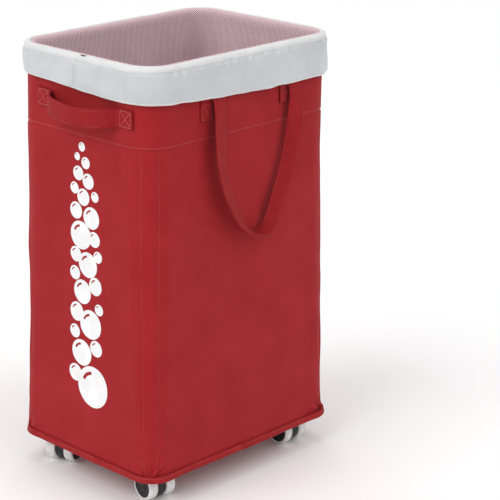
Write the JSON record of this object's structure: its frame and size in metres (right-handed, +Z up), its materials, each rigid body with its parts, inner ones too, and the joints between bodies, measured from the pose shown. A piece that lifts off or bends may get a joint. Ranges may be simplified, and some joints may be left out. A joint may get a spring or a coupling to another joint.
{
  "type": "rolling laundry hamper",
  "caption": "Slim upright fabric laundry hamper on twin-wheel swivel casters, with a lift-out mesh liner whose white cuff folds over the rim, carry straps and side handles.",
  "frame": {"origin": "on the floor, under the middle of the box", "axes": "+Z up, X along the long side, Y across; the carry straps hang on the -Y and +Y faces, the side handles on the -X and +X faces"},
  "size_m": [0.448, 0.329, 0.678],
  "materials": {
    "red_fabric": "coated oxford weave, satin",
    "red_webbing": "folded and stitched oxford band",
    "white_cuff": "plain polyester, matte",
    "white_mesh": "knitted polyester mesh",
    "base_board": "pressed board, matte",
    "glassfibre_rod": "pultruded rod, satin",
    "zinc_steel": "zinc plated",
    "black_plastic": "moulded, fine texture",
    "white_tyre": "moulded, satin"
  },
  "bodies": {
    "base": {"outer_shell": "red_fabric", "bottom_panel": "red_fabric", "bottom_piping": "red_fabric", "base_board": "base_board", "rim_hoop": "zinc_steel", "corner_rod_front_left": "glassfibre_rod", "corner_rod_front_right": "glassfibre_rod", "corner_rod_rear_left": "glassfibre_rod", "corner_rod_rear_right": "glassfibre_rod", "rod_sleeve_front_left": "red_fabric", "rod_sleeve_front_right": "red_fabric", "rod_sleeve_rear_left": "red_fabric", "rod_sleeve_rear_right": "red_fabric", "strap_tab_front_a": "red_webbing", "strap_tab_front_b": "red_webbing", "strap_tab_rear_a": "red_webbing", "strap_tab_rear_b": "red_webbing", "handle_patch_left_a": "red_webbing", "handle_patch_left_b": "red_webbing", "handle_patch_right_a": "red_webbing", "handle_patch_right_b": "red_webbing", "caster_front_left_stem": "zinc_steel", "caster_front_left_nut": "zinc_steel", "caster_front_right_stem": "zinc_steel", "caster_front_right_nut": "zinc_steel", "caster_rear_left_stem": "zinc_steel", "caster_rear_left_nut": "zinc_steel", "caster_rear_right_stem": "zinc_steel", "caster_rear_right_nut": "zinc_steel"},
    "liner": {"liner_bag": "white_mesh", "liner_cuff": "white_cuff"},
    "strap_front": {"carry_strap_front": "red_webbing"},
    "strap_rear": {"carry_strap_rear": "red_webbing"},
    "handle_left": {"side_handle_left": "red_webbing"},
    "handle_right": {"side_handle_right": "red_webbing"},
    "swivel_front_left": {"caster_front_left_hood": "black_plastic", "caster_front_left_axle": "zinc_steel"},
    "wheel_front_left_a": {"caster_front_left_hub_a": "black_plastic", "caster_front_left_tyre_a": "white_tyre"},
    "wheel_front_left_b": {"caster_front_left_hub_b": "black_plastic", "caster_front_left_tyre_b": "white_tyre"},
    "swivel_front_right": {"caster_front_right_hood": "black_plastic", "caster_front_right_axle": "zinc_steel"},
    "wheel_front_right_a": {"caster_front_right_hub_a": "black_plastic", "caster_front_right_tyre_a": "white_tyre"},
    "wheel_front_right_b": {"caster_front_right_hub_b": "black_plastic", "caster_front_right_tyre_b": "white_tyre"},
    "swivel_rear_left": {"caster_rear_left_hood": "black_plastic", "caster_rear_left_axle": "zinc_steel"},
    "wheel_rear_left_a": {"caster_rear_left_hub_a": "black_plastic", "caster_rear_left_tyre_a": "white_tyre"},
    "wheel_rear_left_b": {"caster_rear_left_hub_b": "black_plastic", "caster_rear_left_tyre_b": "white_tyre"},
    "swivel_rear_right": {"caster_rear_right_hood": "black_plastic", "caster_rear_right_axle": "zinc_steel"},
    "wheel_rear_right_a": {"caster_rear_right_hub_a": "black_plastic", "caster_rear_right_tyre_a": "white_tyre"},
    "wheel_rear_right_b": {"caster_rear_right_hub_b": "black_plastic", "caster_rear_right_tyre_b": "white_tyre"}
  },
  "joints": [
    {"name": "liner_lift", "type": "slide", "parent": "base", "child": "liner", "axis": [0, 0, 1], "range_m": [0, 0.66]},
    {"name": "carry_strap_front_swing", "type": "hinge", "parent": "base", "child": "strap_front", "pos_m": [0, -0.163, 0.604], "axis": [-1, 0, 0], "range_deg": [0, 175]},
    {"name": "carry_strap_rear_swing", "type": "hinge", "parent": "base", "child": "strap_rear", "pos_m": [0, 0.163, 0.604], "axis": [1, 0, 0], "range_deg": [0, 175]},
    {"name": "side_handle_left_lift", "type": "hinge", "parent": "base", "child": "handle_left", "pos_m": [-0.2105, 0, 0.596], "axis": [0, 1, 0], "range_deg": [0, 75]},
    {"name": "side_handle_right_lift", "type": "hinge", "parent": "base", "child": "handle_right", "pos_m": [0.2105, 0, 0.596], "axis": [0, -1, 0], "range_deg": [0, 75]},
    {"name": "swivel_front_left_turn", "type": "hinge", "parent": "base", "child": "swivel_front_left", "pos_m": [-0.148, -0.095, 0.0454], "axis": [0, 0, 1], "continuous": true},
    {"name": "wheel_front_left_a_roll", "type": "hinge", "parent": "swivel_front_left", "child": "wheel_front_left_a", "pos_m": [-0.14939, -0.1049, 0.0225], "axis": [-0.9903, 0.1392, 0], "continuous": true},
    {"name": "wheel_front_left_b_roll", "type": "hinge", "parent": "swivel_front_left", "child": "wheel_front_left_b", "pos_m": [-0.14939, -0.1049, 0.0225], "axis": [-0.9903, 0.1392, 0], "continuous": true},
    {"name": "swivel_front_right_turn", "type": "hinge", "parent": "base", "child": "swivel_front_right", "pos_m": [0.148, -0.095, 0.0454], "axis": [0, 0, 1], "continuous": true},
    {"name": "wheel_front_right_a_roll", "type": "hinge", "parent": "swivel_front_right", "child": "wheel_front_right_a", "pos_m": [0.148, -0.105, 0.0225], "axis": [-1, 0, 0], "continuous": true},
    {"name": "wheel_front_right_b_roll", "type": "hinge", "parent": "swivel_front_right", "child": "wheel_front_right_b", "pos_m": [0.148, -0.105, 0.0225], "axis": [-1, 0, 0], "continuous": true},
    {"name": "swivel_rear_left_turn", "type": "hinge", "parent": "base", "child": "swivel_rear_left", "pos_m": [-0.148, 0.095, 0.0454], "axis": [0, 0, 1], "continuous": true},
    {"name": "wheel_rear_left_a_roll", "type": "hinge", "parent": "swivel_rear_left", "child": "wheel_rear_left_a", "pos_m": [-0.15753, 0.09198, 0.0225], "axis": [-0.3024, 0.9532, 0], "continuous": true},
    {"name": "wheel_rear_left_b_roll", "type": "hinge", "parent": "swivel_rear_left", "child": "wheel_rear_left_b", "pos_m": [-0.15753, 0.09198, 0.0225], "axis": [-0.3024, 0.9532, 0], "continuous": true},
    {"name": "swivel_rear_right_turn", "type": "hinge", "parent": "base", "child": "swivel_rear_right", "pos_m": [0.148, 0.095, 0.0454], "axis": [0, 0, 1], "continuous": true},
    {"name": "wheel_rear_right_a_roll", "type": "hinge", "parent": "swivel_rear_right", "child": "wheel_rear_right_a", "pos_m": [0.14157, 0.10266, 0.0225], "axis": [0.766, 0.6428, 0], "continuous": true},
    {"name": "wheel_rear_right_b_roll", "type": "hinge", "parent": "swivel_rear_right", "child": "wheel_rear_right_b", "pos_m": [0.14157, 0.10266, 0.0225], "axis": [0.766, 0.6428, 0], "continuous": true}
  ]
}
